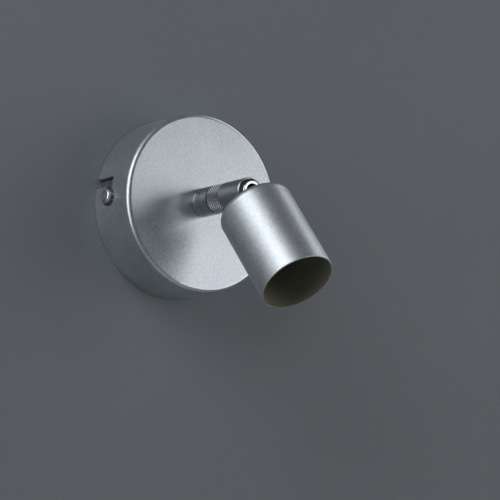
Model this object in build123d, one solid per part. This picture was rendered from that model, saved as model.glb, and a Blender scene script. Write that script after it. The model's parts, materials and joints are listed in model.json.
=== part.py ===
from build123d import *

import os
from math import asin, cos, degrees, radians, sin, sqrt

# Pivoting spotlight wall light: a round canopy held on a wall bracket by two side screws,
# a short round arm that swivels on the canopy, and a thin spun cup on a ball joint at the arm's end.
#
# Frame, in millimetres: the origin is the canopy's centre on the wall plane, +Z is up,
# the wall is on the +Y side and the arm points along -Y. "Front" distances are measured from
# the wall plane along -Y. Head pieces are drawn along the same axis from the ball's centre,
# then tilted down together.

# ---- Driving dimensions ----
# Canopy
CANOPY_RADIUS = 40.0
CANOPY_DEPTH = 26.0
CANOPY_WALL = 1.2
CANOPY_EDGE_RADIUS = 1.9
WALL_GAP = 0.2

# Bayonet and side screws
SIDE_SCREW_DEPTH = 10.7
SIDE_SCREW_ANGLE = 7.4
BAYONET_TWIST = 9.9
BAYONET_SLOT_WIDTH = 4.4
SIDE_SCREW_RADIUS = 2.0
SIDE_HEAD_RADIUS = 3.3
SIDE_HEAD_HEIGHT = 1.8
SIDE_WASHER_RADIUS = 4.2
SIDE_WASHER_THICKNESS = 0.6
WASHER_TEETH = 16

# Wall bracket
BRACKET_WIDTH = 15.6
BRACKET_THICKNESS = 1.5
BRACKET_TAB_DEPTH = 14.5
BRACKET_HUB_RADIUS = 12.0
WALL_HOLE_CIRCLE = 50.0
WALL_HOLE_RADIUS = 2.25
CABLE_RADIUS = 4.0
GROMMET_WALL = 1.5
GROMMET_FLANGE_RADIUS = 7.5
GROMMET_FLANGE_THICKNESS = 1.5
EARTH_SCREW_OFFSET = 15.5

# Swivel
BOLT_RADIUS = 4.0
BOLT_BORE_RADIUS = 2.6
BOLT_HEAD_RADIUS = 5.0
BOLT_HEAD_HEIGHT = 1.6
BOLT_TAIL = 1.7
NUT_HEIGHT = 3.0
NUT_ACROSS_FLATS = 13.0
STAR_WASHER_THICKNESS = 0.6
STAR_WASHER_RADIUS = 6.6
TAG_THICKNESS = 0.5
TAG_RADIUS = 6.2
TAG_REACH = 11.0
BUSH_FLANGE_THICKNESS = 1.6
BUSH_LENGTH = 14.0
FRICTION_WASHER_THICKNESS = 0.5
SWIVEL_LIMIT = 165.0
STOP_PIN_RADIUS = 0.5
STOP_PIN_CIRCLE = 5.15
STOP_PIN_REACH = 0.9

# Arm
ARM_RADIUS = 6.4
ARM_LENGTH = 34.8
ARM_END_CHAMFER = 0.35
PIVOT_REACH = 31.8
GRIP_START = 10.5
GRIP_END = 20.0
GRIP_RECESS = 0.3
GROOVE_REACH = 5.0
GROOVE_WIDTH = 0.3

# Ball joint
BALL_RADIUS = 5.2
BALL_BORE_RADIUS = 1.9
RING_RADIUS = 5.65
RING_NOSE_RADIUS = 4.9
RING_REACH = 2.1
RING_EDGE_RADIUS = 0.45
RING_THREAD_LENGTH = 1.2
RING_STEP = 0.1
BUFFER_SETBACK = 0.5
DISC_SPRINGS = 4
DISC_THICKNESS = 0.4
DISC_RISE = 0.3
DISC_BORE_RADIUS = 3.0
NECK_RADIUS = 3.4
STEM_THREAD_RADIUS = 3.0
STEM_TAIL = 0.7
REST_TILT = 54.0

# Head cup, distances from the ball's centre
CUP_BACK = 8.0
CUP_LENGTH = 44.5
CUP_RADIUS = 16.6
CUP_WALL = 0.9
CUP_BACK_RADIUS = 3.0
CUP_RIM_RADIUS = 0.3

# Light unit in the cup
STRAP_THICKNESS = 1.0
STRAP_WIDTH = 8.0
STRAP_LEG_WIDTH = 3.6
STRAP_FOOT_LENGTH = 3.6
STEM_WASHER_THICKNESS = 0.6
STEM_WASHER_RADIUS = 5.5
STEM_NUT_HEIGHT = 3.0
STEM_NUT_ACROSS_FLATS = 10.0
SINK_BACK = 20.0
SINK_THICKNESS = 3.0
SINK_FIN_LENGTH = 8.0
SINK_FINS = 12
SINK_FIN_THICKNESS = 1.2
SINK_FIN_BORE_RADIUS = 7.0
BOARD_RADIUS = 13.0
BOARD_THICKNESS = 1.2
BOARD_SCREW_CIRCLE = 9.5
EMITTER_RADIUS = 4.5
EMITTER_THICKNESS = 0.6
LENS_SPACER_LENGTH = 8.0
LENS_SPACER_WALL = 1.3
LENS_FLANGE_THICKNESS = 1.2
LENS_SMALL_RADIUS = 4.8
LENS_LARGE_RADIUS = 10.5
LENS_RING_THICKNESS = 1.0
LENS_RING_WALL = 1.1

# Wiring inside the canopy
CARRIER_CLEARANCE = 3.3
CARRIER_EDGE = 3.5
CARRIER_THICKNESS = 1.5
BLOCK_PITCH = 10.0
BLOCK_POLES = 3
BLOCK_LENGTH = 17.0
BLOCK_HEIGHT = 14.0
BLOCK_BASE = 14.0
BLOCK_TUBE_RADIUS = 2.8
BLOCK_TUBE_BORE_RADIUS = 1.6
BLOCK_TUBE_LENGTH = 14.0
DRIVER_WIDTH = 38.0
DRIVER_LENGTH = 20.0
DRIVER_HEIGHT = 15.0
DRIVER_TOP = 11.0
DRIVER_EAR = 5.0
DRIVER_EAR_WIDTH = 8.0
DRIVER_EAR_THICKNESS = 2.0
MAINS_LEAD_RADIUS = 0.9
LAMP_LEAD_RADIUS = 0.7
LAMP_LEAD_SPACING = 1.6
LAMP_LEAD_SPREAD = 6.3
LEAD_MEETING = 16.4
LEAD_GRIP = 2.0
LEAD_STRAIGHT = 4.5
OUTPUT_LEAD_DEPTH = 11.5
INPUT_LEAD_BEND = 9.0
EARTH_LEAD_BEND = 2.3
OUTPUT_LEAD_BEND = 4.5
PIVOT_LEAD_BEND = 5.0
SPREAD_LEAD_BEND = 3.0
SMALL_SCREW_RADIUS = 1.25
SMALL_HEAD_RADIUS = 2.1
SMALL_HEAD_HEIGHT = 1.6

# Clearances
THREAD_GAP = 0.02
LOOSE_GAP = 0.1
TURNING_GAP = 0.05
BALL_GAP = 0.08
NECK_GAP = 0.3
CUP_FIT_GAP = 0.1

# ---- Derived sizes ----
CANOPY_BORE = CANOPY_RADIUS - CANOPY_WALL
FACE_INSIDE = CANOPY_DEPTH - CANOPY_WALL
TAB_OUTSIDE = sqrt(CANOPY_BORE**2 - (BRACKET_WIDTH / 2) ** 2) - 4 * LOOSE_GAP
TAB_INSIDE = TAB_OUTSIDE - BRACKET_THICKNESS
GROMMET_RADIUS = CABLE_RADIUS + GROMMET_WALL
CARRIER_RADIUS = CANOPY_BORE - CARRIER_CLEARANCE
CARRIER_WIDTH = DRIVER_WIDTH + DRIVER_EAR + 2 * CARRIER_EDGE
CARRIER_BACK = FACE_INSIDE - CARRIER_THICKNESS
TAG_BACK = CARRIER_BACK - TAG_THICKNESS
STAR_BACK = TAG_BACK - STAR_WASHER_THICKNESS
NUT_BACK = STAR_BACK - NUT_HEIGHT
BOLT_BACK = NUT_BACK - BOLT_TAIL
FLANGE_BACK = CANOPY_DEPTH + TURNING_GAP
FLANGE_FRONT = FLANGE_BACK + BUSH_FLANGE_THICKNESS
BUSH_FRONT = FLANGE_BACK + BUSH_LENGTH
BOLT_HEAD_BACK = BUSH_FRONT + FRICTION_WASHER_THICKNESS + 2 * TURNING_GAP
BOLT_FRONT = BOLT_HEAD_BACK + BOLT_HEAD_HEIGHT
ARM_FRONT = CANOPY_DEPTH + ARM_LENGTH
RING_BACK = ARM_FRONT - RING_THREAD_LENGTH
RING_FRONT = ARM_FRONT + RING_REACH
RING_HOLE_RADIUS = NECK_RADIUS + LOOSE_GAP
BUFFER_BACK = ARM_FRONT + RING_STEP + THREAD_GAP
BUFFER_FRONT = RING_FRONT - BUFFER_SETBACK
PIVOT = CANOPY_DEPTH + PIVOT_REACH
ARM_BORE = BALL_RADIUS + BALL_GAP
SPRINGS_BACK = BOLT_FRONT + TURNING_GAP
DISC_PITCH = DISC_THICKNESS + DISC_RISE + THREAD_GAP
SEAT_BACK = SPRINGS_BACK + DISC_SPRINGS * DISC_PITCH
SEAT_FRONT = PIVOT - NECK_RADIUS - 2 * LOOSE_GAP
CUP_BORE = CUP_RADIUS - CUP_WALL
CUP_RIM = CUP_BACK + CUP_LENGTH
CUP_INSIDE = CUP_BACK + CUP_WALL
STEM_WASHER_BACK = CUP_INSIDE + STRAP_THICKNESS
STEM_NUT_BACK = STEM_WASHER_BACK + STEM_WASHER_THICKNESS
STEM_FRONT = STEM_NUT_BACK + STEM_NUT_HEIGHT + STEM_TAIL
SINK_RADIUS = CUP_BORE - CUP_FIT_GAP
SINK_FRONT = SINK_BACK + SINK_THICKNESS
BOARD_FRONT = SINK_FRONT + BOARD_THICKNESS
EMITTER_FRONT = BOARD_FRONT + EMITTER_THICKNESS
LENS_FLANGE_BACK = SINK_FRONT + LENS_SPACER_LENGTH
LENS_FRONT = LENS_FLANGE_BACK + LENS_FLANGE_THICKNESS
BLOCK_BACK = CARRIER_BACK - BLOCK_HEIGHT
BLOCK_MIDDLE = BLOCK_BASE + BLOCK_LENGTH / 2
TUBE_DEPTH = CARRIER_BACK - BLOCK_HEIGHT * 0.4
DRIVER_BACK = CARRIER_BACK - DRIVER_HEIGHT
CUP_INSIDE_RADIUS = max(CUP_BACK_RADIUS - CUP_WALL, 0.3)
STRAP_LEG_OUTSIDE = sqrt((CUP_BORE - CUP_INSIDE_RADIUS) ** 2 - (STRAP_WIDTH / 2) ** 2) - LOOSE_GAP
MODULE_SCREW_CIRCLE = STRAP_LEG_OUTSIDE - STRAP_FOOT_LENGTH / 2
LAMP_LEAD_X = LAMP_LEAD_SPACING / 2


# ---- Shapes shared by several pieces ----
def rod(radius, start, end):
    """Round bar on the Y axis between two front distances."""
    return Pos(0, -(start + end) / 2, 0) * Rot(90, 0, 0) * Cylinder(radius, end - start)


def tube(outside, bore, start, end):
    """Round tube on the Y axis between two front distances."""
    return rod(outside, start, end) - rod(bore, start, end)


def turned(*points):
    """Solid turned about the Y axis from points of (radius, front distance)."""
    outline = Polyline(*[(radius, -front) for radius, front in points], close=True)
    return revolve(make_face(outline), Axis.Y)


def slab(x, z, start, end):
    """Rectangular bar centred on the Y axis, x wide and z high, between two front distances."""
    return Pos(0, -(start + end) / 2, 0) * Box(x, end - start, z)


def hexagon_nut(across_flats, bore, start, end):
    """Hexagon nut on the Y axis with its corners eased at both ends."""
    corner = across_flats / sqrt(3)
    ease = (corner - across_flats / 2) * 0.8
    prism = Pos(0, -start, 0) * Rot(90, 0, 0) * extrude(RegularPolygon(corner, 6), end - start)
    eased = turned(
        (0, start),
        (across_flats / 2, start),
        (corner, start + ease),
        (corner, end - ease),
        (across_flats / 2, end),
        (0, end),
    )
    return (prism & eased) - rod(bore, start, end)


def pan_screw(shank, head, head_height, length):
    """Cross-recess pan-head screw: the head's seat is at the origin and the shank points along -Y."""
    dome = fillet(rod(head, -head_height, 0).edges().sort_by(Axis.Y)[-1], head_height * 0.55)
    recess = Pos(0, head_height, 0) * Box(head * 1.15, head_height, head * 0.28)
    return dome - recess - Rot(0, 90, 0) * recess + rod(shank, 0, length)


def front_edge(solid):
    return solid.edges().filter_by(GeomType.CIRCLE).sort_by(Axis.Y)[0]


def back_edge(solid):
    return solid.edges().filter_by(GeomType.CIRCLE).sort_by(Axis.Y)[-1]


def lead(name, radius, points, bends):
    """Insulated lead on straight runs joined by tangent arcs."""
    route = FilletPolyline(*points, radius=bends)
    section = Plane(origin=route @ 0, z_dir=route % 0) * Circle(radius)
    print(name, "radius", radius, "length", round(route.length, 2), "bends", bends)
    return sweep(section, path=route)


def beside_screw(shape):
    """Copies a shape made on the -X side to both side screws."""
    return [Rot(0, SIDE_SCREW_ANGLE + side, 0) * shape for side in (0, 180)]


def tilted(shape):
    """Places a head piece drawn along the arm's axis from the ball's centre."""
    return Pos(0, -PIVOT, 0) * Rot(REST_TILT, 0, 0) * shape


def head_point(x, front):
    """Point on the tilted head, x to the side and front mm from the ball's centre."""
    tilt = radians(REST_TILT)
    return (x, -PIVOT - front * cos(tilt), -front * sin(tilt))


# ---- Wall bracket and its fasteners ----
def wall_bracket():
    strip = slab(2 * TAB_OUTSIDE, BRACKET_WIDTH, 0, BRACKET_THICKNESS)
    for side in (-1, 1):
        middle = side * (TAB_OUTSIDE + TAB_INSIDE) / 2
        strip += Pos(middle, 0, 0) * slab(BRACKET_THICKNESS, BRACKET_WIDTH, 0, BRACKET_TAB_DEPTH)
    bends = [
        edge
        for edge in strip.edges().filter_by(Axis.Z)
        if abs(edge.center().Y) < 0.01 and abs(abs(edge.center().X) - TAB_OUTSIDE) < 0.01
    ]
    strip = fillet(bends, BRACKET_THICKNESS)
    corners = [
        edge
        for edge in strip.edges().filter_by(Axis.X)
        if abs(edge.center().Y + BRACKET_TAB_DEPTH) < 0.01
    ]
    strip = fillet(corners, BRACKET_WIDTH / 5)
    strip += rod(BRACKET_HUB_RADIUS, 0, BRACKET_THICKNESS)
    strip -= rod(GROMMET_RADIUS + LOOSE_GAP, 0, BRACKET_THICKNESS)
    for side in (-1, 1):
        strip -= Pos(side * WALL_HOLE_CIRCLE / 2, 0, 0) * rod(WALL_HOLE_RADIUS, 0, BRACKET_THICKNESS)
    strip -= Pos(EARTH_SCREW_OFFSET, 0, 0) * rod(SIDE_SCREW_RADIUS + THREAD_GAP, 0, BRACKET_THICKNESS)
    thread = Rot(0, 90, 0) * Cylinder(SIDE_SCREW_RADIUS + THREAD_GAP, 3 * CANOPY_RADIUS)
    strip -= Pos(0, -SIDE_SCREW_DEPTH, 0) * thread
    return Rot(0, SIDE_SCREW_ANGLE, 0) * strip


def cable_grommet():
    sleeve = rod(GROMMET_RADIUS, 0, BRACKET_THICKNESS)
    flange = rod(GROMMET_FLANGE_RADIUS, BRACKET_THICKNESS, BRACKET_THICKNESS + GROMMET_FLANGE_THICKNESS)
    flange = fillet(front_edge(flange), GROMMET_FLANGE_THICKNESS * 0.4)
    return sleeve + flange - rod(CABLE_RADIUS, 0, BRACKET_THICKNESS + GROMMET_FLANGE_THICKNESS)


def side_screws():
    seat = CANOPY_RADIUS + TURNING_GAP + SIDE_WASHER_THICKNESS
    length = seat - TAB_INSIDE + BRACKET_THICKNESS
    screw = pan_screw(SIDE_SCREW_RADIUS, SIDE_HEAD_RADIUS, SIDE_HEAD_HEIGHT, length)
    return Compound(beside_screw(Pos(-seat, -SIDE_SCREW_DEPTH, 0) * Rot(0, 0, 90) * screw))


def side_screw_washers():
    washer = rod(SIDE_WASHER_RADIUS, 0, SIDE_WASHER_THICKNESS)
    for tooth in range(WASHER_TEETH):
        notch = Pos(SIDE_WASHER_RADIUS, 0, 0) * Rot(0, 45, 0) * slab(0.7, 0.7, 0, SIDE_WASHER_THICKNESS)
        washer -= Rot(0, 360 * tooth / WASHER_TEETH, 0) * notch
    washer -= rod(SIDE_SCREW_RADIUS + LOOSE_GAP, 0, SIDE_WASHER_THICKNESS)
    seat = CANOPY_RADIUS + TURNING_GAP + SIDE_WASHER_THICKNESS
    return Compound(beside_screw(Pos(-seat, -SIDE_SCREW_DEPTH, 0) * Rot(0, 0, 90) * washer))


def earth_washer():
    ring = turned(
        (SIDE_SCREW_RADIUS + LOOSE_GAP, BRACKET_THICKNESS),
        (SIDE_HEAD_RADIUS, BRACKET_THICKNESS),
        (SIDE_WASHER_RADIUS, BRACKET_THICKNESS + 2 * SIDE_WASHER_THICKNESS),
        (SIDE_HEAD_RADIUS, BRACKET_THICKNESS + 2 * SIDE_WASHER_THICKNESS),
        (SIDE_HEAD_RADIUS - 0.5, BRACKET_THICKNESS + SIDE_WASHER_THICKNESS),
        (SIDE_SCREW_RADIUS + LOOSE_GAP, BRACKET_THICKNESS + SIDE_WASHER_THICKNESS),
    )
    return Rot(0, SIDE_SCREW_ANGLE, 0) * Pos(EARTH_SCREW_OFFSET, 0, 0) * ring


def earth_screw():
    seat = BRACKET_THICKNESS + SIDE_WASHER_THICKNESS
    head = SIDE_HEAD_RADIUS - 2 * LOOSE_GAP - 0.5
    screw = Rot(180, 0, 0) * pan_screw(SIDE_SCREW_RADIUS, head, SIDE_HEAD_HEIGHT, seat - LOOSE_GAP)
    return Rot(0, SIDE_SCREW_ANGLE, 0) * Pos(EARTH_SCREW_OFFSET, -seat, 0) * screw


# ---- Canopy and what is fixed inside it ----
def canopy_shell():
    outside = rod(CANOPY_RADIUS, WALL_GAP, CANOPY_DEPTH)
    outside = fillet(front_edge(outside), CANOPY_EDGE_RADIUS)
    inside = rod(CANOPY_BORE, WALL_GAP, FACE_INSIDE)
    inside = fillet(front_edge(inside), max(CANOPY_EDGE_RADIUS - CANOPY_WALL, 0.2))
    shell = outside - inside
    radial = Pos(-CANOPY_RADIUS, -SIDE_SCREW_DEPTH, 0) * Rot(0, 90, 0)
    end = radial * Cylinder(BAYONET_SLOT_WIDTH / 2, 4 * CANOPY_WALL)
    entry_depth = SIDE_SCREW_DEPTH + BAYONET_SLOT_WIDTH / 2
    entry = Pos(-CANOPY_RADIUS, -entry_depth / 2, 0)
    entry *= Box(4 * CANOPY_WALL, entry_depth, BAYONET_SLOT_WIDTH)
    chord = 2 * CANOPY_RADIUS * sin(radians(BAYONET_TWIST / 2))
    leg = Pos(-CANOPY_RADIUS, -SIDE_SCREW_DEPTH, 0)
    leg *= Box(4 * CANOPY_WALL, BAYONET_SLOT_WIDTH, chord)
    cuts = beside_screw(end)
    cuts += beside_screw(Rot(0, BAYONET_TWIST / 2, 0) * leg)
    cuts += beside_screw(Rot(0, BAYONET_TWIST, 0) * entry)
    for cut in cuts:
        shell -= cut
    shell -= rod(BOLT_RADIUS + LOOSE_GAP, FACE_INSIDE, CANOPY_DEPTH)
    pin_hole = rod(STOP_PIN_RADIUS + THREAD_GAP, FACE_INSIDE, CANOPY_DEPTH)
    return shell - Pos(0, 0, STOP_PIN_CIRCLE) * pin_hole


def swivel_stop_pin():
    pin = rod(STOP_PIN_RADIUS, FACE_INSIDE, CANOPY_DEPTH + STOP_PIN_REACH)
    return Pos(0, 0, STOP_PIN_CIRCLE) * chamfer(front_edge(pin), STOP_PIN_RADIUS * 0.3)


def hollow_bolt():
    bolt = rod(BOLT_RADIUS, BOLT_BACK, BOLT_HEAD_BACK) + rod(BOLT_HEAD_RADIUS, BOLT_HEAD_BACK, BOLT_FRONT)
    bolt -= rod(BOLT_BORE_RADIUS, BOLT_BACK, BOLT_FRONT)
    return bolt - slab(1.2, 3 * BOLT_HEAD_RADIUS, BOLT_FRONT - BOLT_HEAD_HEIGHT / 2, BOLT_FRONT)


def carrier_plate():
    plate = rod(CARRIER_RADIUS, CARRIER_BACK, FACE_INSIDE)
    plate &= slab(CARRIER_WIDTH, 3 * CARRIER_RADIUS, CARRIER_BACK, FACE_INSIDE)
    plate -= rod(BOLT_RADIUS + LOOSE_GAP, CARRIER_BACK, FACE_INSIDE)
    threads = rod(SMALL_SCREW_RADIUS + THREAD_GAP, CARRIER_BACK, FACE_INSIDE)
    for x, z in block_screw_places() + driver_screw_places():
        plate -= Pos(x, 0, z) * threads
    return plate


def earth_tag():
    ring = tube(TAG_RADIUS, BOLT_RADIUS + LOOSE_GAP, TAG_BACK, CARRIER_BACK)
    tongue = Pos(0, 0, (TAG_RADIUS + TAG_REACH) / 2 - 0.5)
    ring += tongue * slab(3.2, TAG_REACH - TAG_RADIUS + 1, TAG_BACK, CARRIER_BACK)
    return ring - rod(BOLT_RADIUS + LOOSE_GAP, TAG_BACK, CARRIER_BACK)


def star_washer():
    ring = tube(STAR_WASHER_RADIUS, BOLT_RADIUS + LOOSE_GAP, STAR_BACK, TAG_BACK)
    notch = Pos(STAR_WASHER_RADIUS, 0, 0) * Rot(0, 45, 0) * slab(1.2, 1.2, STAR_BACK, TAG_BACK)
    for tooth in range(WASHER_TEETH):
        ring -= Rot(0, 360 * tooth / WASHER_TEETH, 0) * notch
    return ring


def bolt_nut():
    return hexagon_nut(NUT_ACROSS_FLATS, BOLT_RADIUS + THREAD_GAP, NUT_BACK, STAR_BACK)


# ---- Terminal block and driver on the carrier plate ----
def pole_places():
    return [BLOCK_PITCH * (pole - (BLOCK_POLES - 1) / 2) for pole in range(BLOCK_POLES)]


def block_screw_places():
    return [(x + BLOCK_PITCH / 2, BLOCK_MIDDLE) for x in pole_places()[:-1]]


def driver_screw_places():
    x = DRIVER_WIDTH / 2 + DRIVER_EAR / 2
    return [(side * x, -DRIVER_TOP - DRIVER_LENGTH / 2) for side in (-1, 1)]


def clamp_screw_places():
    return [(x, BLOCK_MIDDLE + side * BLOCK_TUBE_LENGTH / 4) for x in pole_places() for side in (-1, 1)]


def upright(radius, length):
    """Round bar along Z through a pole's centre."""
    return Pos(0, -TUBE_DEPTH, BLOCK_MIDDLE) * Cylinder(radius, length)


def terminal_block():
    block = slab(BLOCK_POLES * BLOCK_PITCH, BLOCK_LENGTH, BLOCK_BACK, CARRIER_BACK)
    block = fillet(block.edges().filter_by(Axis.Y), 1.0)
    block = Pos(0, 0, BLOCK_MIDDLE) * block
    gap = BLOCK_TUBE_RADIUS + LOOSE_GAP
    for x in pole_places():
        block -= Pos(x, 0, 0) * upright(gap, BLOCK_TUBE_LENGTH)
        block -= Pos(x, 0, 0) * upright(BLOCK_TUBE_BORE_RADIUS, BLOCK_LENGTH)
    for x, z in clamp_screw_places():
        block -= Pos(x, 0, z) * rod(SMALL_HEAD_RADIUS, BLOCK_BACK, TUBE_DEPTH)
    recess = rod(SMALL_HEAD_RADIUS, BLOCK_BACK, BLOCK_BACK + SMALL_HEAD_HEIGHT)
    hole = rod(SMALL_SCREW_RADIUS + LOOSE_GAP, BLOCK_BACK, CARRIER_BACK)
    for x, z in block_screw_places():
        block -= Pos(x, 0, z) * (recess + hole)
    return block


def terminal_tubes():
    tubes = []
    for x in pole_places():
        barrel = upright(BLOCK_TUBE_RADIUS, BLOCK_TUBE_LENGTH) - upright(
            BLOCK_TUBE_BORE_RADIUS, BLOCK_TUBE_LENGTH
        )
        for side in (-1, 1):
            thread = rod(SMALL_SCREW_RADIUS + THREAD_GAP, BLOCK_BACK, TUBE_DEPTH)
            barrel -= Pos(0, 0, BLOCK_MIDDLE + side * BLOCK_TUBE_LENGTH / 4) * thread
        tubes.append(Pos(x, 0, 0) * barrel)
    return Compound(tubes)


def slotted_screw(shank, head, head_height, length):
    """Slotted cheese-head screw, seat at the origin, shank along -Y."""
    top = rod(head, -head_height, 0) - Pos(0, head_height, 0) * Box(3 * head, head_height, 0.5)
    return top + rod(shank, 0, length)


def terminal_screws():
    head = SMALL_HEAD_RADIUS - LOOSE_GAP
    seat = TUBE_DEPTH - BLOCK_TUBE_RADIUS - SMALL_HEAD_HEIGHT
    length = TUBE_DEPTH - MAINS_LEAD_RADIUS - LOOSE_GAP - seat
    screw = slotted_screw(SMALL_SCREW_RADIUS, head, SMALL_HEAD_HEIGHT, length)
    return Compound([Pos(x, -seat, z) * screw for x, z in clamp_screw_places()])


def block_screws():
    head = SMALL_HEAD_RADIUS - LOOSE_GAP
    seat = BLOCK_BACK + SMALL_HEAD_HEIGHT
    length = FACE_INSIDE - LOOSE_GAP - seat
    screw = slotted_screw(SMALL_SCREW_RADIUS, head, SMALL_HEAD_HEIGHT, length)
    return Compound([Pos(x, -seat, z) * screw for x, z in block_screw_places()])


def led_driver():
    case = slab(DRIVER_WIDTH, DRIVER_LENGTH, DRIVER_BACK, CARRIER_BACK)
    case = fillet(case.edges().filter_by(Axis.Y), 2.0)
    case = fillet(case.faces().sort_by(Axis.Y)[-1].edges(), 1.0)
    case = Pos(0, 0, -DRIVER_TOP - DRIVER_LENGTH / 2) * case
    for x, z in driver_screw_places():
        ear = slab(DRIVER_EAR, DRIVER_EAR_WIDTH, CARRIER_BACK - DRIVER_EAR_THICKNESS, CARRIER_BACK)
        case += Pos(x, 0, z) * ear
    for x, z in driver_screw_places():
        case -= Pos(x, 0, z) * rod(SMALL_SCREW_RADIUS + LOOSE_GAP, DRIVER_BACK, CARRIER_BACK)
    return case


def driver_screws():
    seat = CARRIER_BACK - DRIVER_EAR_THICKNESS
    length = FACE_INSIDE - LOOSE_GAP - seat
    screw = pan_screw(SMALL_SCREW_RADIUS, SMALL_HEAD_RADIUS, SMALL_HEAD_HEIGHT, length)
    return Compound([Pos(x, -seat, z) * screw for x, z in driver_screw_places()])


def driver_input_leads():
    inside = BLOCK_BASE + (BLOCK_LENGTH - BLOCK_TUBE_LENGTH) / 2 + LEAD_GRIP
    bow = DRIVER_WIDTH / 2 - LEAD_STRAIGHT
    leads = []
    for side in (-1, 1):
        x = side * pole_places()[-1]
        points = [
            (x, -TUBE_DEPTH, inside),
            (x, -TUBE_DEPTH, BLOCK_BASE - LEAD_STRAIGHT),
            (side * bow, -TUBE_DEPTH, LEAD_STRAIGHT - DRIVER_TOP),
            (side * bow, -TUBE_DEPTH, -DRIVER_TOP),
        ]
        leads.append(lead("driver input lead", MAINS_LEAD_RADIUS, points, [INPUT_LEAD_BEND, INPUT_LEAD_BEND]))
    return Compound(leads)


def earth_lead():
    inside = BLOCK_BASE + (BLOCK_LENGTH - BLOCK_TUBE_LENGTH) / 2 + LEAD_GRIP
    landing = TAG_REACH - EARTH_LEAD_BEND
    points = [(0, -TUBE_DEPTH, inside), (0, -TUBE_DEPTH, landing), (0, -TAG_BACK, landing)]
    return lead("earth lead", MAINS_LEAD_RADIUS, points, [EARTH_LEAD_BEND])


def driver_output_leads():
    leads = []
    for side in (-1, 1):
        x = side * LAMP_LEAD_X
        points = [(x, -OUTPUT_LEAD_DEPTH, -DRIVER_TOP), (x, -OUTPUT_LEAD_DEPTH, 0), (x, -LEAD_MEETING, 0)]
        leads.append(lead("driver output lead", LAMP_LEAD_RADIUS, points, [OUTPUT_LEAD_BEND]))
    return Compound(leads)


# ---- Arm ----
def swivel_bush():
    flange = rod(ARM_RADIUS, FLANGE_BACK, FLANGE_FRONT)
    flange = chamfer([front_edge(flange), back_edge(flange)], 0.15)
    bush = flange + rod(ARM_BORE - THREAD_GAP, FLANGE_FRONT, BUSH_FRONT)
    bush -= rod(BOLT_RADIUS + TURNING_GAP, FLANGE_BACK, BUSH_FRONT)
    half_width = STOP_PIN_RADIUS + 3 * TURNING_GAP
    floor = CANOPY_DEPTH + STOP_PIN_REACH + 2 * LOOSE_GAP
    groove = tube(STOP_PIN_CIRCLE + half_width, STOP_PIN_CIRCLE - half_width, FLANGE_BACK, floor)
    pin_angle = degrees(asin(STOP_PIN_RADIUS / STOP_PIN_CIRCLE))
    land_angle = 180 - SWIVEL_LIMIT - pin_angle - 1
    land_width = 2 * STOP_PIN_CIRCLE * sin(radians(land_angle))
    land = Pos(0, 0, -STOP_PIN_CIRCLE) * slab(land_width, 3 * half_width, FLANGE_BACK, floor)
    return bush - (groove - land)


def friction_washer():
    start = BUSH_FRONT + TURNING_GAP
    return tube(BOLT_HEAD_RADIUS, BOLT_RADIUS + LOOSE_GAP, start, start + FRICTION_WASHER_THICKNESS)


def arm_sleeve():
    sleeve = rod(ARM_RADIUS, FLANGE_FRONT, ARM_FRONT)
    sleeve = chamfer(front_edge(sleeve), ARM_END_CHAMFER)
    sleeve = chamfer(back_edge(sleeve), 0.15)
    sleeve -= tube(
        ARM_RADIUS + 1, ARM_RADIUS - GRIP_RECESS, CANOPY_DEPTH + GRIP_START, CANOPY_DEPTH + GRIP_END
    )
    groove = CANOPY_DEPTH + GROOVE_REACH
    sleeve -= tube(ARM_RADIUS + 1, ARM_RADIUS - GRIP_RECESS, groove, groove + GROOVE_WIDTH)
    sleeve -= rod(ARM_BORE, FLANGE_FRONT, ARM_FRONT)
    sleeve -= rod(RING_RADIUS + THREAD_GAP, RING_BACK, ARM_FRONT)
    return sleeve - neck_slot()


def neck_slot():
    """Space on the arm's underside that the neck sweeps as the head tilts."""
    half_slot = NECK_RADIUS + NECK_GAP
    reach = 2 * ARM_RADIUS
    front = Pos(0, 0, -reach / 2) * slab(2 * half_slot, reach, PIVOT, RING_FRONT + 1)
    return front + Pos(0, -PIVOT, -reach / 2) * Cylinder(half_slot, reach)


def socket_ring():
    """Slotted ring screwed into the arm's end: the lip of its nose keeps the ball in."""
    ring = rod(RING_RADIUS, RING_BACK, ARM_FRONT + RING_STEP)
    ring += fillet(front_edge(rod(RING_NOSE_RADIUS, RING_BACK, RING_FRONT)), RING_EDGE_RADIUS)
    ring -= rod(RING_HOLE_RADIUS, RING_BACK, RING_FRONT)
    return ring - Pos(0, -PIVOT, 0) * Sphere(ARM_BORE) - neck_slot()


def buffer_ring():
    """Open rubber ring round the socket ring's nose, so that the cup can't scratch the arm."""
    outside = fillet(front_edge(rod(RING_RADIUS, BUFFER_BACK, BUFFER_FRONT)), RING_EDGE_RADIUS)
    return outside - rod(RING_NOSE_RADIUS + THREAD_GAP, BUFFER_BACK, BUFFER_FRONT) - neck_slot()


def disc_springs():
    discs = []
    outside = ARM_BORE - LOOSE_GAP
    for index in range(DISC_SPRINGS):
        rise_in, rise_out = (0, DISC_RISE) if index % 2 else (DISC_RISE, 0)
        start = SPRINGS_BACK + index * DISC_PITCH
        discs.append(
            turned(
                (DISC_BORE_RADIUS, start + rise_in),
                (outside, start + rise_out),
                (outside, start + rise_out + DISC_THICKNESS),
                (DISC_BORE_RADIUS, start + rise_in + DISC_THICKNESS),
            )
        )
    return Compound(discs)


def ball_seat():
    seat = tube(ARM_BORE - LOOSE_GAP, BOLT_BORE_RADIUS, SEAT_BACK, SEAT_FRONT)
    return seat - Pos(0, -PIVOT, 0) * Sphere(ARM_BORE)


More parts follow.
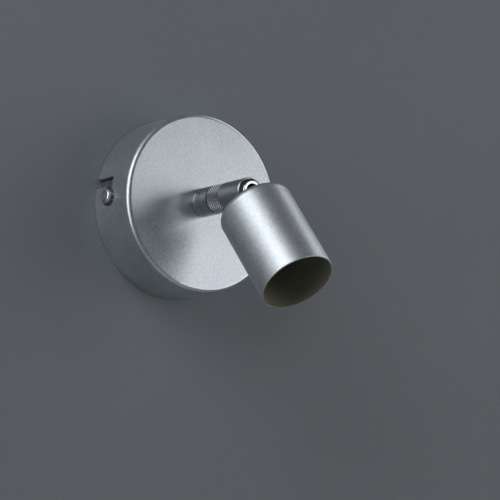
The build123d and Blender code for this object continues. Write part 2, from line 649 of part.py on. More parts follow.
def lamp_leads():
    """Two leads from the hollow bolt through the ball to the light unit's board."""
    bends = [PIVOT_LEAD_BEND, SPREAD_LEAD_BEND, SPREAD_LEAD_BEND]
    leads = []
    for side in (-1, 1):
        x, spread = side * LAMP_LEAD_X, side * LAMP_LEAD_SPREAD
        points = [
            (x, -LEAD_MEETING - TURNING_GAP, 0),
            (x, -PIVOT, 0),
            head_point(x, STEM_FRONT + 0.5),
            head_point(spread, SINK_BACK - 1.2),
            head_point(spread, BOARD_FRONT),
        ]
        leads.append(lead("lamp lead", LAMP_LEAD_RADIUS, points, bends))
    print("least gap between the lamp leads", round(LAMP_LEAD_SPACING - 2 * LAMP_LEAD_RADIUS, 2))
    return Compound(leads)


# ---- Head ----
def ball_stem():
    stem = Sphere(BALL_RADIUS) + rod(NECK_RADIUS, 0, CUP_BACK)
    stem += rod(STEM_THREAD_RADIUS, CUP_BACK, STEM_FRONT)
    stem -= rod(BALL_BORE_RADIUS, 0, STEM_FRONT)
    stem -= rod(BALL_BORE_RADIUS, -2 * BALL_RADIUS, 0)
    stem -= Sphere(BALL_BORE_RADIUS)
    depth = 2 * BALL_RADIUS
    stem -= Pos(0, depth / 2, -depth / 2) * Box(2 * BALL_BORE_RADIUS, depth, depth)
    return tilted(stem - Pos(0, 0, -depth / 2) * Cylinder(BALL_BORE_RADIUS, depth))


def head_cup():
    outside = rod(CUP_RADIUS, CUP_BACK, CUP_RIM)
    outside = fillet(back_edge(outside), CUP_BACK_RADIUS)
    inside = rod(CUP_BORE, CUP_INSIDE, CUP_RIM)
    inside = fillet(back_edge(inside), CUP_INSIDE_RADIUS)
    cup = outside - inside - rod(STEM_THREAD_RADIUS + TURNING_GAP, CUP_BACK, CUP_INSIDE)
    rim = [edge for edge in cup.edges().filter_by(GeomType.CIRCLE) if abs(edge.center().Y + CUP_RIM) < 0.01]
    return tilted(fillet(rim, CUP_RIM_RADIUS))


def head_strap():
    strap = slab(STRAP_WIDTH, 2 * STRAP_LEG_OUTSIDE, CUP_INSIDE, CUP_INSIDE + STRAP_THICKNESS)
    foot_back = SINK_BACK - STRAP_THICKNESS
    leg = slab(STRAP_LEG_WIDTH, STRAP_THICKNESS, CUP_INSIDE, SINK_BACK)
    foot = slab(STRAP_LEG_WIDTH, STRAP_FOOT_LENGTH, foot_back, SINK_BACK)
    for side in (-1, 1):
        strap += Pos(0, 0, side * (STRAP_LEG_OUTSIDE - STRAP_THICKNESS / 2)) * leg
        strap += Pos(0, 0, side * MODULE_SCREW_CIRCLE) * foot
        thread = rod(SMALL_SCREW_RADIUS + THREAD_GAP, foot_back, SINK_BACK)
        strap -= Pos(0, 0, side * MODULE_SCREW_CIRCLE) * thread
    strap -= rod(STEM_THREAD_RADIUS + LOOSE_GAP, CUP_INSIDE, STEM_WASHER_BACK)
    return tilted(strap)


def stem_washer():
    ring = tube(STEM_WASHER_RADIUS, STEM_THREAD_RADIUS + LOOSE_GAP, STEM_WASHER_BACK, STEM_NUT_BACK)
    return tilted(ring)


def stem_nut():
    end = STEM_NUT_BACK + STEM_NUT_HEIGHT
    nut = hexagon_nut(STEM_NUT_ACROSS_FLATS, STEM_THREAD_RADIUS + THREAD_GAP, STEM_NUT_BACK, end)
    return tilted(nut)


def board_screw_places():
    return [(side * BOARD_SCREW_CIRCLE / sqrt(2), side * BOARD_SCREW_CIRCLE / sqrt(2)) for side in (-1, 1)]


def heat_sink():
    sink = rod(SINK_RADIUS, SINK_BACK, SINK_FRONT)
    fin_middle = (SINK_FIN_BORE_RADIUS + SINK_RADIUS - LOOSE_GAP) / 2
    fin_width = SINK_RADIUS - LOOSE_GAP - SINK_FIN_BORE_RADIUS
    fin = Pos(fin_middle, 0, 0) * slab(fin_width, SINK_FIN_THICKNESS, SINK_BACK - SINK_FIN_LENGTH, SINK_BACK)
    for index in range(SINK_FINS):
        sink += Rot(0, 360 * (index + 0.5) / SINK_FINS, 0) * fin
    sink &= rod(SINK_RADIUS, SINK_BACK - SINK_FIN_LENGTH, SINK_FRONT)
    for side in (-1, 1):
        sink -= Pos(side * LAMP_LEAD_SPREAD, 0, 0) * rod(LAMP_LEAD_RADIUS + 0.3, SINK_BACK, SINK_FRONT)
        clear = rod(SMALL_SCREW_RADIUS + LOOSE_GAP, SINK_BACK, SINK_FRONT)
        clear += rod(SMALL_HEAD_RADIUS + LOOSE_GAP, SINK_FRONT - SMALL_HEAD_HEIGHT, SINK_FRONT)
        sink -= Pos(0, 0, side * MODULE_SCREW_CIRCLE) * clear
    for x, z in board_screw_places():
        sink -= Pos(x, 0, z) * rod(1.0 + THREAD_GAP, SINK_BACK, SINK_FRONT)
    return tilted(sink)


def module_screws():
    seat = SINK_FRONT - SMALL_HEAD_HEIGHT
    length = seat - SINK_BACK + STRAP_THICKNESS
    screw = Rot(180, 0, 0) * slotted_screw(SMALL_SCREW_RADIUS, SMALL_HEAD_RADIUS, SMALL_HEAD_HEIGHT, length)
    places = [(0, -seat, side * MODULE_SCREW_CIRCLE) for side in (-1, 1)]
    return Compound([tilted(Pos(*place) * screw) for place in places])


def led_board():
    board = rod(BOARD_RADIUS, SINK_FRONT, BOARD_FRONT)
    lead_hole = rod(LAMP_LEAD_RADIUS + THREAD_GAP, SINK_FRONT, BOARD_FRONT)
    for side in (-1, 1):
        board -= Pos(side * LAMP_LEAD_SPREAD, 0, 0) * lead_hole
    for x, z in board_screw_places():
        board -= Pos(x, 0, z) * rod(1.0 + LOOSE_GAP, SINK_FRONT, BOARD_FRONT)
    return tilted(board)


def led_emitter():
    disc = rod(EMITTER_RADIUS, BOARD_FRONT, EMITTER_FRONT)
    return tilted(fillet(front_edge(disc), EMITTER_THICKNESS * 0.5))


def solder_joints():
    joint = fillet(front_edge(rod(LAMP_LEAD_RADIUS + 0.4, BOARD_FRONT, BOARD_FRONT + 0.6)), 0.4)
    return Compound([tilted(Pos(side * LAMP_LEAD_SPREAD, 0, 0) * joint) for side in (-1, 1)])


def board_screws():
    length = BOARD_FRONT - SINK_BACK - 0.5
    screw = Rot(180, 0, 0) * pan_screw(1.0, 1.8, 1.2, length)
    return Compound([tilted(Pos(x, -BOARD_FRONT, z) * screw) for x, z in board_screw_places()])


def lens_spacer():
    return tilted(tube(SINK_RADIUS, SINK_RADIUS - LENS_SPACER_WALL, SINK_FRONT, LENS_FLANGE_BACK))


def lens():
    body = turned(
        (0, EMITTER_FRONT + 0.4),
        (LENS_SMALL_RADIUS, EMITTER_FRONT + 0.4),
        (LENS_LARGE_RADIUS, LENS_FLANGE_BACK),
        (SINK_RADIUS, LENS_FLANGE_BACK),
        (SINK_RADIUS, LENS_FRONT),
        (0, LENS_FRONT),
    )
    return tilted(body)


def lens_ring():
    ring = tube(SINK_RADIUS, SINK_RADIUS - LENS_RING_WALL, LENS_FRONT, LENS_FRONT + LENS_RING_THICKNESS)
    return tilted(ring)


PIECES = (
    wall_bracket,
    cable_grommet,
    side_screws,
    side_screw_washers,
    earth_screw,
    earth_washer,
    canopy_shell,
    swivel_stop_pin,
    hollow_bolt,
    carrier_plate,
    earth_tag,
    star_washer,
    bolt_nut,
    terminal_block,
    terminal_tubes,
    terminal_screws,
    block_screws,
    led_driver,
    driver_screws,
    driver_input_leads,
    earth_lead,
    driver_output_leads,
    swivel_bush,
    friction_washer,
    arm_sleeve,
    socket_ring,
    buffer_ring,
    disc_springs,
    ball_seat,
    lamp_leads,
    ball_stem,
    head_cup,
    head_strap,
    stem_washer,
    stem_nut,
    heat_sink,
    module_screws,
    led_board,
    led_emitter,
    solder_joints,
    board_screws,
    lens_spacer,
    lens,
    lens_ring,
)

os.makedirs("parts", exist_ok=True)
for piece in PIECES:
    export_step(piece(), "parts/" + piece.__name__ + ".step")
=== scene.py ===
import json
import math

import bpy
from mathutils import Euler, Matrix, Vector


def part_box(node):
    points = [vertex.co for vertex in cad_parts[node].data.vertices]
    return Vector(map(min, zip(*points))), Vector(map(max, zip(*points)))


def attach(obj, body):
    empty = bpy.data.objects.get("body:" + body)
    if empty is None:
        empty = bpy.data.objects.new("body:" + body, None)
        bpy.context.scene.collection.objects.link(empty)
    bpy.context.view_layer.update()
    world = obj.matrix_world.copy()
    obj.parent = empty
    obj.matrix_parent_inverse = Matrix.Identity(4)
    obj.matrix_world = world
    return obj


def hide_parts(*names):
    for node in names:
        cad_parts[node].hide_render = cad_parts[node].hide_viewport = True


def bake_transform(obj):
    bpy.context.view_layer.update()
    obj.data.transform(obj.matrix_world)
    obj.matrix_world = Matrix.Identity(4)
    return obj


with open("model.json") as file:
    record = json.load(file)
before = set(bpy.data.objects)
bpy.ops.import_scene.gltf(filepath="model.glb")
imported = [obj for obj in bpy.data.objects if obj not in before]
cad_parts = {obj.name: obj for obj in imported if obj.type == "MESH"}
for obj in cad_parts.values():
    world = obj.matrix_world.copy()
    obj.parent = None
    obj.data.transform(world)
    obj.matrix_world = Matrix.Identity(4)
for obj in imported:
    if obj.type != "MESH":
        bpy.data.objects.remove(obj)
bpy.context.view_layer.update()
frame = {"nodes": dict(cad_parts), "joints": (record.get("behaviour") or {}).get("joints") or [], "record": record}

bl_info = {
    "name": "Pivoting wall spotlight",
    "version": (1, 0, 0),
    "blender": (4, 5, 0),
    "location": "3D View > Sidebar > Wall spotlight",
    "description": "Finishes, knurled grip, screw detail, leads, lens facets and stage of a wall spotlight",
    "category": "Object",
}

MM = 0.001
JOINTS = {joint["name"]: joint for joint in frame["joints"]}
PIVOT = Vector(JOINTS["head_tilt"]["pos_m"])
REST_TILT = math.radians(54.0)
SCREW_LINE = math.radians(7.4)

# Lengths that the finishes use, in millimetres.
CANOPY_RADIUS = 40.0
CUP_RADIUS = 16.6
# How far inside the outer radius a drawn side starts to be rougher, and is fully so.
DRAWN_EDGE = (1.2, 0.2)
# The recess under the grip's knurl, whose floor gets painted shade: its ends, from the wall, and just over its
# floor's radius.
GRIP_RECESS = {"start": 36.5, "end": 46.0, "floor": 6.13}
# The cup's inside, painted a dull olive for its shade and a warm reflection, lies within a skin round a core that
# has a rounded back.
CUP_INSIDE = {"core": 13.6, "bend": 11.0, "skin": 2.55}
# The radius from which a knurl shows its plain metal instead of painted shade, and fully so.
KNURL_TIP = (6.17, 6.31)
# The lamp board: bare edge, outer edge of the copper, half the gap between its two halves.
BOARD_EDGE = 12.8
COPPER_EDGE = 10.9
COPPER_SPLIT = 1.2
# The wall's cover lets light into the canopy within this radius.
COVER_OPENING = 37.0

# Lengths that the fine parts use, in metres.
SIDE_SCREW_SEAT = 0.04065
RIDGE_MIDDLE = 0.0006
RIDGE_LENGTH = 0.0010
BOLT_RADIUS = 0.004
LENS_FRONT = 0.0322
LENS_CLEAR_RADIUS = 0.0098
# The radius of a facet's ball, as a share of the pitch.
FACET_BALL = 0.56
# The leads' way: from the wall along the arm, then from the ball's centre along the head.
ARM_ROUTE = (0.01645, 0.0300, 0.0460, 0.0530)
STEM_ROUTE = (0.0060, 0.0137, 0.0157)
SOLDER_ROUTE = (0.0187, 0.0200, 0.0242)

# The stage, in metres. The wall lies just behind the back of the bracket.
WALL_RIGHT, WALL_LOW, WALL_HIGH, FLOOR_DEPTH = 2.2, -1.1, 1.6, 2.4
WALL_CLEARANCE = 0.0001
COVER_RADIUS = 0.0392
COVER_STEPS = 96
FLOOR_SPOT = Vector((-0.35, -1.0, WALL_LOW))

# Softboxes: azimuth, elevation and distance from the pivot, target, width and height.
LAMP_SPOTS = {
    "left": ((-76.0, 34.0, 1.0), PIVOT, (0.7, 0.75)),
    "left_front": ((-50.0, 40.0, 1.0), PIVOT, (0.45, 0.6)),
    "left_low": ((-86.0, 2.0, 1.0), PIVOT, (0.3, 0.5)),
    "right": ((52.0, -8.0, 1.15), PIVOT, (1.1, 0.75)),
    "side": ((84.0, 28.0, 0.95), PIVOT, (0.6, 0.5)),
    "floor_lamp": ((-20.0, -12.0, 1.0), FLOOR_SPOT, (1.6, 1.1)),
    "rear": ((-150.0, 34.0, 1.0), Vector(), (0.8, 0.6)),
}

# Camera fitted to the photo: focal length and sensor in millimetres, place in metres, turn in degrees.
FOCAL_LENGTH, SENSOR_WIDTH = 210.4, 36.0
CAMERA_PLACE = (-0.75308, -1.06374, -0.13448)
CAMERA_TURN = (95.00564, 4.95587, -36.36976)
CLIP_NEAR, CLIP_FAR = 0.05, 20.0


# ---- Placing ----
def canopy_frame():
    """Canopy and arm pieces are drawn in the shared frame itself."""
    return Matrix.Identity(4)


def head_frame():
    """Head pieces are drawn along -Y from the ball's centre and tilted down together."""
    return Matrix.Translation(PIVOT) @ Matrix.Rotation(REST_TILT, 4, "X")


def bake(piece, place):
    """Puts a piece's place into its mesh and leaves the object at the origin."""
    piece.data.transform(place @ piece.matrix_world)
    piece.matrix_world = Matrix.Identity(4)
    piece.data.update()
    return piece


def new_piece(name, mesh):
    piece = bpy.data.objects.new(name, mesh)
    bpy.context.scene.collection.objects.link(piece)
    return piece


def smooth(mesh):
    for face in mesh.polygons:
        face.use_smooth = True


def dress(piece, material, body):
    """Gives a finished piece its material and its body."""
    if not piece.data.materials:
        piece.data.materials.append(material)
    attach(piece, body)
    return piece


# ---- Shader trees ----
def linear(*levels):
    """A colour from 0-255 display levels, as linear RGBA."""
    return (*((c / 255 / 12.92 if c <= 10 else ((c / 255 + 0.055) / 1.055) ** 2.4) for c in levels), 1.0)


def feed(tree, socket, value):
    """Links a wire to a socket, or sets the socket's own value."""
    if isinstance(value, Wire):
        tree.links.new(value.socket, socket)
    else:
        socket.default_value = value


class Wire:
    """A value in a shader tree: sums, products and powers of wires add Math nodes."""

    def __init__(self, tree, socket):
        self.tree, self.socket = tree, socket

    def math(self, operation, *values, first=None):
        node = self.tree.nodes.new("ShaderNodeMath")
        node.operation = operation
        terms = (self, *values) if first is None else (first, self)
        for place, value in enumerate(terms):
            feed(self.tree, node.inputs[place], value)
        return Wire(self.tree, node.outputs[0])

    def __add__(self, other):
        return self.math("ADD", other)

    def __sub__(self, other):
        return self.math("SUBTRACT", other)

    def __rsub__(self, other):
        return self.math("SUBTRACT", first=other)

    def __mul__(self, other):
        return self.math("MULTIPLY", other)

    def __truediv__(self, other):
        return self.math("DIVIDE", other)

    def __pow__(self, other):
        return self.math("POWER", other)

    __radd__, __rmul__ = __add__, __mul__

    def rise(self, low, high):
        """0 below low, 1 above high, smooth between."""
        node = self.tree.nodes.new("ShaderNodeMapRange")
        node.interpolation_type = "SMOOTHSTEP"
        for key, value in (("Value", self), ("From Min", low), ("From Max", high)):
            feed(self.tree, node.inputs[key], value)
        return Wire(self.tree, node.outputs[0])


class Tree:
    """A node tree in which one method adds any node, with its settings and the values of its sockets."""

    def node(self, kind, settings=None, values=None, out=0):
        made = self.tree.nodes.new(kind)
        for key, value in (settings or {}).items():
            setattr(made, key, value)
        for key, value in (values or {}).items():
            feed(self.tree, made.inputs[key], value)
        return Wire(self.tree, made.outputs[out])


class Finish(Tree):
    """A procedural material: one principled shader fed by nodes on object coordinates."""

    def __init__(self, name, **uniform):
        self.material = bpy.data.materials.new(name)
        self.material.use_nodes = True
        self.tree = self.material.node_tree
        self.tree.nodes.clear()
        self.output = self.tree.nodes.new("ShaderNodeOutputMaterial")
        self.shader = self.tree.nodes.new("ShaderNodeBsdfPrincipled")
        self.tree.links.new(self.shader.outputs[0], self.output.inputs[0])
        self.surface(**uniform)

    def place(self, origin=(0.0, 0.0, 0.0), turn=(0.0, 0.0, 0.0), stretch=(1.0, 1.0, 1.0)):
        """Object coordinates in millimetres, seen from a turned frame at origin."""
        coordinates = self.node("ShaderNodeTexCoord", out="Object")
        local = self.node(
            "ShaderNodeMapping",
            {"vector_type": "TEXTURE"},
            {"Vector": coordinates, "Location": origin, "Rotation": turn},
        )
        scale = tuple(factor / MM for factor in stretch)
        return self.node("ShaderNodeVectorMath", {"operation": "MULTIPLY"}, {0: local, 1: scale})

    def axes(self, place):
        node = self.node("ShaderNodeSeparateXYZ", values={0: place}).socket.node
        return [Wire(self.tree, output) for output in node.outputs]

    def round_y(self, place):
        """How far a point lies along the place's Y axis, and how far from it."""
        x, y, z = self.axes(place)
        return y, (x * x + z * z) ** 0.5

    def noise(self, place, scale, detail=2.0, roughness=0.5):
        values = {"Vector": place, "Scale": scale, "Detail": detail, "Roughness": roughness}
        return self.node("ShaderNodeTexNoise", values=values)

    def cells(self, place, scale, feature="F1", out="Distance"):
        values = {"Vector": place, "Scale": scale}
        return self.node("ShaderNodeTexVoronoi", {"feature": feature}, values, out)

    def colour(self, factor, low, high):
        """A colour between low and high."""
        settings = {"data_type": "RGBA"}
        return self.node("ShaderNodeMix", settings, {0: factor, 6: low, 7: high}, 2)

    def bump(self, height, depth, strength=1.0):
        values = {"Height": height, "Distance": depth, "Strength": strength}
        return self.node("ShaderNodeBump", values=values)

    def surface(self, **values):
        for key, value in values.items():
            feed(self.tree, self.shader.inputs[key.replace("_", " ")], value)
        return self.material


# ---- Finishes ----
HEAD_PLACE = {"origin": tuple(PIVOT), "turn": (REST_TILT, 0.0, 0.0)}
# Painted shade, for the grooves of the knurl and the floor of the recess under the grip.
PAINTED_SHADE = linear(30, 31, 34)


def inside_shade_mask(y, radius):
    """1 on the cup's inside, where painted shade goes, found by its distance from a rounded core; 0 outside."""
    past_core = (radius - CUP_INSIDE["core"]).math("MAXIMUM", 0.0)
    past_bend = (y + CUP_INSIDE["bend"]).math("MAXIMUM", 0.0)
    distance = (past_core * past_core + past_bend * past_bend) ** 0.5
    return 1.0 - distance.rise(CUP_INSIDE["skin"], CUP_INSIDE["skin"] + 0.1)


def recess_shade_mask(y, radius):
    """1 on the floor of the recess under the grip's knurl, which gets painted shade; 0 elsewhere."""
    start, end, floor = GRIP_RECESS["start"], GRIP_RECESS["end"], GRIP_RECESS["floor"]
    within = (0.0 - y).rise(start, start + 0.05) * (y + end).rise(0.0, 0.05)
    return within * (1.0 - radius.rise(floor, floor + 0.03))


def satin_nickel(name, look, place=None, drawn=None, shaded_inside=False, shaded_recess=False, shade_dim=1.0):
    """Matt-blasted nickel plating: a fine sandy grain over faint cloudy variation."""
    finish = Finish(name, Metallic=1.0)
    mm = finish.place(**(place or {}))
    y, radius = finish.round_y(mm)
    grain = finish.noise(mm, look.grain, 3.0, 0.65)
    fleck = finish.noise(mm, look.grain * 0.37, 2.0)
    cloud = finish.noise(mm, 0.06, 2.0)
    # A factor below 1 darkens both tones: painted shade for the arm, whose plating reflects its dark surroundings.
    pale, dark = ([c * shade_dim for c in tone[:3]] + [1.0] for tone in (look.metal, look.shade))
    tone = finish.colour((grain * 0.5 + fleck * 0.3 + cloud * 0.2).rise(0.34, 0.66), dark, pale)
    rough = look.roughness + (grain - 0.5) * 0.25 + (cloud - 0.5) * 0.08
    if drawn:
        start, end = (drawn - inset for inset in DRAWN_EDGE)
        rough = rough + radius.rise(start, end) * look.drawn
    values = {"Base_Color": tone, "Roughness": rough}
    # Painted shade and a painted warm reflection: the cup's inside turns a matt dull olive instead of metal.
    if shaded_inside:
        inside = inside_shade_mask(y, radius)
        values["Base_Color"] = finish.colour(inside, tone, look.inside)
        values["Metallic"] = 1.0 - inside
        values["Roughness"] = rough * (1.0 - inside) + inside * 0.62
    # Painted shade on the floor of the recess under the grip's knurl.
    if shaded_recess:
        values["Base_Color"] = finish.colour(recess_shade_mask(y, radius), tone, PAINTED_SHADE)
    values["Normal"] = finish.bump(grain * 0.7 + fleck * 0.3, look.grain_depth, 0.35)
    return finish.surface(**values)


def bright_chrome(name):
    """Polished chrome with faint polishing haze and hairlines."""
    finish = Finish(name, Metallic=1.0)
    mm = finish.place()
    haze = finish.noise(mm, 0.5, 3.0)
    hairs = finish.noise(finish.place(stretch=(0.4, 6.0, 0.4)), 3.0, 2.0)
    tone = finish.colour(haze, linear(205, 208, 212), linear(232, 234, 236))
    rough = 0.05 + haze * 0.05 + hairs.rise(0.6, 0.75) * 0.06
    return finish.surface(Base_Color=tone, Roughness=rough, Normal=finish.bump(hairs, 2e-6, 0.2))


def burnished(name):
    """Black oxide over polished steel, worn a little lighter where it rubs."""
    finish = Finish(name, Metallic=1.0)
    mm = finish.place(origin=tuple(PIVOT))
    wear = finish.noise(mm, 1.4, 4.0, 0.65)
    tone = finish.colour(wear.rise(0.5, 0.8), linear(38, 38, 41), linear(88, 88, 92))
    return finish.surface(Base_Color=tone, Roughness=0.24 + wear * 0.15, Normal=finish.bump(wear, 4e-6, 0.3))


def knurled(name):
    """Cut knurling: tips in the plating's own bright tone that sink into grooves darkened with painted shade."""
    finish = Finish(name, Metallic=1.0)
    mm = finish.place()
    _, radius = finish.round_y(mm)
    knurl_noise = finish.noise(mm, 1.6, 3.0)
    # Painted shade: below the tips the knurl fades into the dark colour of the grooves.
    tip = (radius + (knurl_noise - 0.5) * 0.1).rise(*KNURL_TIP)
    tone = finish.colour(tip, PAINTED_SHADE, linear(226, 229, 233))
    rough = 0.24 + knurl_noise * 0.12
    return finish.surface(Base_Color=tone, Roughness=rough, Normal=finish.bump(knurl_noise, 1e-5, 0.4))


def plated_steel(name, dark, pale, roughness=0.3, spangle=0.5):
    """Bright plating on steel: soft crystalline patches and drawn-steel hairlines."""
    finish = Finish(name, Metallic=1.0)
    mm = finish.place()
    patch = finish.cells(mm, 0.8, "SMOOTH_F1")
    hairs = finish.noise(finish.place(stretch=(1.0, 1.0, 9.0)), 1.2, 3.0)
    smut = finish.noise(mm, 0.22, 3.0, 0.6)
    mixed = patch * spangle + hairs * (0.6 - spangle / 2) + smut * 0.4
    tone = finish.colour(mixed.rise(0.25, 0.8), dark, pale)
    rough = roughness + (smut - 0.5) * 0.2 + (hairs - 0.5) * 0.1
    return finish.surface(Base_Color=tone, Roughness=rough, Normal=finish.bump(hairs + smut, 6e-6, 0.35))


def turned_metal(name, dark, pale, roughness=0.32, place=None):
    """Metal turned on a lathe: fine rings round its own axis."""
    finish = Finish(name, Metallic=1.0)
    mm = finish.place(**(place or {}))
    y, radius = finish.round_y(mm)
    rings = ((radius + y * 0.7) * 16.0).math("SINE") * 0.5 + 0.5
    smut = finish.noise(mm, 0.35, 3.0)
    tone = finish.colour((rings * 0.35 + smut * 0.65).rise(0.2, 0.8), dark, pale)
    rough = roughness + rings * 0.08 + (smut - 0.5) * 0.16
    return finish.surface(Base_Color=tone, Roughness=rough, Normal=finish.bump(rings, 8e-6, 0.4))


def moulded(name, dark, pale, roughness=0.5, grain=3.0, **uniform):
    """Moulded plastic or rubber: a fine tool texture and slight flow shades."""
    finish = Finish(name, **uniform)
    mm = finish.place()
    texture = finish.noise(mm, grain, 2.0)
    flow = finish.noise(mm, 0.09, 2.0)
    dust = finish.noise(mm, 0.7, 4.0, 0.7)
    tone = finish.colour((flow * 0.7 + texture * 0.3).rise(0.3, 0.7), dark, pale)
    rough = roughness + (texture - 0.5) * 0.16 + dust.rise(0.55, 0.8) * 0.08
    return finish.surface(Base_Color=tone, Roughness=rough, Normal=finish.bump(texture, 1.5e-5, 0.4))


def solder_metal(name):
    """Frosted solder with duller spots of flux."""
    finish = Finish(name, Metallic=1.0)
    mm = finish.place()
    frost = finish.cells(mm, 2.5)
    flux = finish.noise(mm, 0.8, 3.0)
    tone = finish.colour(frost, linear(196, 198, 200), linear(150, 152, 155))
    return finish.surface(Base_Color=tone, Roughness=0.16 + flux * 0.3, Normal=finish.bump(frost, 1e-5, 0.4))


def sleeving(name, left, right, stripe=None):
    """Lead insulation: one colour left of the middle and another right of it, or two colours in stripes."""
    finish = Finish(name, Coat_Weight=0.1)
    mm = finish.place()
    x, y, z = finish.axes(mm)
    if stripe is None:
        side = x.rise(-0.05, 0.05)
    else:
        side = (y * 1.3 + z * 1.3 + x * 0.6).math("SINE").rise(-0.1, 0.1) * stripe
    texture = finish.noise(mm, 1.8, 3.0)
    smudge = finish.colour(texture, linear(190, 190, 190), linear(255, 255, 255))
    settings = {"data_type": "RGBA", "blend_type": "MULTIPLY"}
    values = {0: 0.35, 6: finish.colour(side, left, right), 7: smudge}
    tone = finish.node("ShaderNodeMix", settings, values, 2)
    rough = 0.42 + (texture - 0.5) * 0.2
    return finish.surface(Base_Color=tone, Roughness=rough, Normal=finish.bump(texture, 8e-6, 0.3))


def circuit_board(name):
    """White solder mask with the faint relief of the copper under it and a bare metal edge."""
    finish = Finish(name, Coat_Weight=0.3)
    mm = finish.place(**HEAD_PLACE)
    x, _, _ = finish.axes(mm)
    _, radius = finish.round_y(mm)
    split = x.math("ABSOLUTE").rise(COPPER_SPLIT, COPPER_SPLIT + 0.15)
    copper = split * (1.0 - radius.rise(COPPER_EDGE, COPPER_EDGE + 0.15))
    mottle = finish.noise(mm, 1.1, 3.0)
    mask = finish.colour(copper * 0.5 + mottle * 0.3, linear(214, 214, 208), linear(240, 240, 236))
    edge = radius.rise(BOARD_EDGE, BOARD_EDGE + 0.1)
    return finish.surface(
        Base_Color=finish.colour(edge, mask, linear(150, 152, 155)),
        Metallic=edge,
        Roughness=0.32 + mottle * 0.12,
        Normal=finish.bump(copper + mottle * 0.1, 3.5e-5, 0.7),
    )


def phosphor(name):
    """Silicone over yellow phosphor: fine powder under a domed gloss."""
    finish = Finish(name, Coat_Weight=0.6, Subsurface_Weight=0.1)
    mm = finish.place(**HEAD_PLACE)
    powder = finish.cells(mm, 5.0)
    drift = finish.noise(mm, 0.7, 3.0)
    cover = (powder * 0.6 + drift * 0.4).rise(0.1, 0.8)
    tone = finish.colour(cover, linear(232, 196, 52), linear(246, 222, 110))
    rough = 0.34 + drift * 0.15
    return finish.surface(Base_Color=tone, Roughness=rough, Normal=finish.bump(powder, 1e-5, 0.3))


def clear_acrylic(name):
    """Clear moulded acrylic with a slight swirl in its surface."""
    finish = Finish(name, Transmission_Weight=0.94, IOR=1.49)
    mm = finish.place(**HEAD_PLACE)
    swirl = finish.noise(mm, 0.35, 2.0)
    haze = finish.noise(mm, 2.0, 3.0)
    tone = finish.colour(haze, linear(240, 243, 243), linear(252, 253, 253))
    rough = 0.03 + haze * 0.05
    return finish.surface(Base_Color=tone, Roughness=rough, Normal=finish.bump(swirl, 2e-5, 0.25))


def make_finishes():
    """All finishes by material slot; satin nickel has its own versions for the cup and the arm."""
    look = bpy.context.scene.spotlight_nickel
    return {
        "satin_nickel": satin_nickel("satin_nickel_canopy", look, drawn=CANOPY_RADIUS),
        # The cup's inside gets painted shade and a painted warm reflection.
        "satin_nickel_cup": satin_nickel(
            "satin_nickel_cup", look, HEAD_PLACE, drawn=CUP_RADIUS, shaded_inside=True
        ),
        # The arm's plating is darkened, as painted shade, and the floor of its grip's recess gets painted shade.
        "satin_nickel_arm": satin_nickel("satin_nickel_arm", look, shaded_recess=True, shade_dim=0.72),
        "bright_chrome": bright_chrome("bright_chrome_polish"),
        "black_steel": burnished("black_steel_burnished"),
        "knurled_nickel": knurled("knurled_nickel_cut"),
        "nickel_screw": turned_metal(
            "nickel_screw_plate", linear(176, 178, 181), linear(226, 228, 230), 0.3
        ),
        "zinc_steel": plated_steel("zinc_steel_plate", linear(150, 156, 166), linear(206, 210, 216)),
        "spring_steel": plated_steel(
            "spring_steel_blue", linear(58, 60, 66), linear(132, 134, 139), 0.28, 0.6
        ),
        "brass": turned_metal("brass_turned", linear(176, 138, 62), linear(222, 188, 106), 0.25),
        "sink_aluminium": turned_metal(
            "sink_aluminium_turned", linear(172, 174, 178), linear(214, 216, 218), 0.34, HEAD_PLACE
        ),
        "solder": solder_metal("solder_frosted"),
        "black_rubber": moulded(
            "black_rubber_moulded", linear(18, 18, 19), linear(34, 34, 35), 0.62, 2.2
        ),
        "black_plastic": moulded("black_plastic_moulded", linear(14, 14, 15), linear(26, 26, 27)),
        "clear_polyamide": moulded(
            "clear_polyamide_moulded", linear(214, 210, 196), linear(232, 230, 220), 0.36, 1.6,
            Subsurface_Weight=0.15,
        ),
        "white_case": moulded("white_case_moulded", linear(222, 222, 218), linear(238, 238, 235)),
        "white_nylon": moulded(
            "white_nylon_moulded", linear(214, 211, 200), linear(232, 230, 222), 0.45, 2.0
        ),
        "white_board": circuit_board("white_board_mask"),
        "yellow_phosphor": phosphor("yellow_phosphor_dome"),
        "clear_lens": clear_acrylic("clear_lens_acrylic"),
        "mains_insulation": sleeving("mains_insulation_pair", linear(30, 62, 150), linear(92, 52, 30)),
        "earth_insulation": sleeving(
            "earth_insulation_striped", linear(60, 130, 44), linear(232, 206, 40), 0.9
        ),
        "lamp_insulation": sleeving("lamp_insulation_pair", linear(26, 26, 27), linear(170, 26, 24)),
    }


OWN_FINISH = {
    "head_cup": "satin_nickel_cup",
    "arm_sleeve": "satin_nickel_arm",
    "swivel_bush": "satin_nickel_arm",
}
FINISHES = {}


def finish_for(slot):
    """The finish of a material slot; the first call makes them all."""
    if not FINISHES:
        FINISHES.update(make_finishes())
    return FINISHES[slot]


